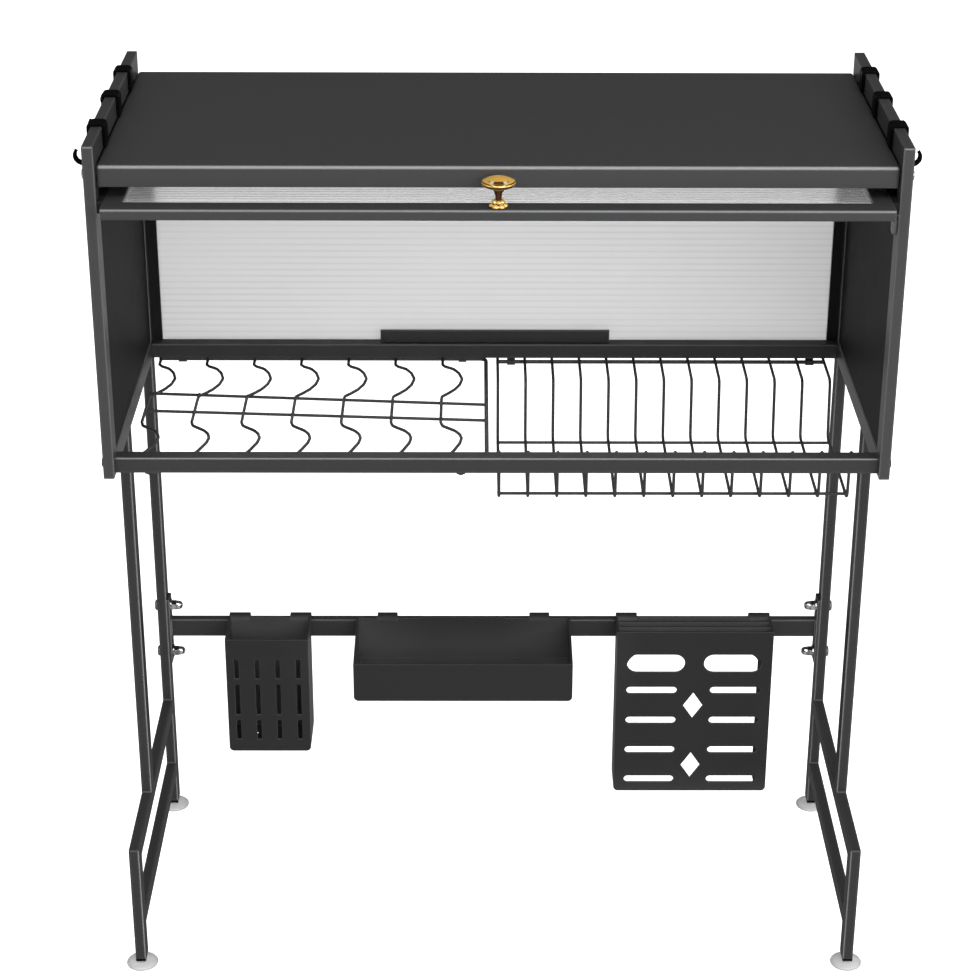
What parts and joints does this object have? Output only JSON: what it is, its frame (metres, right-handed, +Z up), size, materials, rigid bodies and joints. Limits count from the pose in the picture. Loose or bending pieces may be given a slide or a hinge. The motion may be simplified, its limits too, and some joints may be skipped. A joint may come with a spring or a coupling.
{
  "type": "over sink dish rack",
  "caption": "Over-sink dish rack: a steel cabinet with a slide-in flap door, plate and bowl racks, on two leg frames with a crossbar for hanging holders and side hooks.",
  "frame": {"origin": "on the ground, in the middle of the whole rack's length and depth", "axes": "+X across the sink to the viewer's right, +Y from the front to the back, +Z up"},
  "size_m": [0.745, 0.332, 0.8463],
  "materials": {
    "painted": "satin charcoal powder coat",
    "rack_wire": "grey-black coated wire",
    "hanging_sheet": "matt black powder coat",
    "black_hook": "gloss black coat",
    "black_plastic": "moulded black plastic",
    "black_bolt": "black oxide",
    "plated_steel": "bright nickel plate",
    "white_sheet": "ribbed translucent white sheet",
    "gold": "polished gold",
    "nylon": "white nylon",
    "clear_foot": "translucent grey soft plastic"
  },
  "bodies": {
    "rack": {"side_frame_left": "painted", "side_frame_right": "painted", "side_panel_left": "painted", "side_panel_right": "painted", "top_panel": "painted", "bottom_front_bar": "painted", "bottom_rear_bar": "painted", "leg_frame_left": "painted", "leg_frame_right": "painted", "crossbar": "painted", "back_channel_left": "painted", "back_channel_right": "painted", "retaining_strip": "painted", "door_channel_left": "painted", "door_channel_right": "painted", "rack_clips": "painted", "bowl_rack": "rack_wire", "plate_rack": "rack_wire", "leg_caps": "black_plastic", "bar_bolts": "black_bolt", "crossbar_bolts": "black_bolt", "strip_screws": "black_bolt", "rack_clip_screws": "black_bolt", "top_side_bolts": "plated_steel", "top_side_nuts": "plated_steel", "crossbar_nuts": "plated_steel", "crossbar_washers": "plated_steel", "door_catch": "plated_steel", "catch_screw": "plated_steel", "leg_spigots": "plated_steel", "back_panel": "white_sheet"},
    "door_runner": {"door_glides": "nylon", "door_pins": "plated_steel"},
    "door": {"door_frame": "painted", "door_panel": "white_sheet", "door_knob": "gold", "knob_rosette": "gold", "knob_screw": "plated_steel"},
    "utensil_holder": {"utensil_holder": "hanging_sheet"},
    "tray": {"tray": "hanging_sheet"},
    "board_rack": {"board_rack": "hanging_sheet"},
    "hook_front_left": {"side_hook_front_left": "black_hook"},
    "hook_middle_left": {"side_hook_middle_left": "black_hook"},
    "hook_rear_left": {"side_hook_rear_left": "black_hook"},
    "foot_front_left": {"foot_front_left": "clear_foot"},
    "foot_rear_left": {"foot_rear_left": "clear_foot"},
    "hook_front_right": {"side_hook_front_right": "black_hook"},
    "hook_middle_right": {"side_hook_middle_right": "black_hook"},
    "hook_rear_right": {"side_hook_rear_right": "black_hook"},
    "foot_front_right": {"foot_front_right": "clear_foot"},
    "foot_rear_right": {"foot_rear_right": "clear_foot"}
  },
  "joints": [
    {"name": "door_slide", "type": "slide", "parent": "rack", "child": "door_runner", "axis": [0, -1, 0], "range_m": [0, 0.201]},
    {"name": "door_swing", "type": "hinge", "parent": "door_runner", "child": "door", "pos_m": [0, 0.07305, 0.788], "axis": [1, 0, 0], "range_deg": [0, 90]},
    {"name": "utensil_holder_slide", "type": "slide", "parent": "rack", "child": "utensil_holder", "axis": [1, 0, 0], "range_m": [-0.046, 0.02]},
    {"name": "tray_slide", "type": "slide", "parent": "rack", "child": "tray", "axis": [1, 0, 0], "range_m": [-0.024, 0.022]},
    {"name": "board_rack_slide", "type": "slide", "parent": "rack", "child": "board_rack", "axis": [1, 0, 0], "range_m": [-0.022, 0.032]},
    {"name": "hook_front_left_slide", "type": "slide", "parent": "rack", "child": "hook_front_left", "axis": [0, 1, 0], "range_m": [-0.03, 0.03]},
    {"name": "hook_middle_left_slide", "type": "slide", "parent": "rack", "child": "hook_middle_left", "axis": [0, 1, 0], "range_m": [-0.028, 0.025]},
    {"name": "hook_rear_left_slide", "type": "slide", "parent": "rack", "child": "hook_rear_left", "axis": [0, 1, 0], "range_m": [-0.022, 0.03]},
    {"name": "hook_front_right_slide", "type": "slide", "parent": "rack", "child": "hook_front_right", "axis": [0, 1, 0], "range_m": [-0.03, 0.03]},
    {"name": "hook_middle_right_slide", "type": "slide", "parent": "rack", "child": "hook_middle_right", "axis": [0, 1, 0], "range_m": [-0.028, 0.025]},
    {"name": "hook_rear_right_slide", "type": "slide", "parent": "rack", "child": "hook_rear_right", "axis": [0, 1, 0], "range_m": [-0.022, 0.03]},
    {"name": "foot_front_left_turn", "type": "hinge", "parent": "rack", "child": "foot_front_left", "pos_m": [-0.35, -0.13945, 0], "axis": [0, 0, 1], "continuous": true},
    {"name": "foot_rear_left_turn", "type": "hinge", "parent": "rack", "child": "foot_rear_left", "pos_m": [-0.35, 0.15045, 0], "axis": [0, 0, 1], "continuous": true},
    {"name": "foot_front_right_turn", "type": "hinge", "parent": "rack", "child": "foot_front_right", "pos_m": [0.35, -0.13945, 0], "axis": [0, 0, 1], "continuous": true},
    {"name": "foot_rear_right_turn", "type": "hinge", "parent": "rack", "child": "foot_rear_right", "pos_m": [0.35, 0.15045, 0], "axis": [0, 0, 1], "continuous": true}
  ]
}
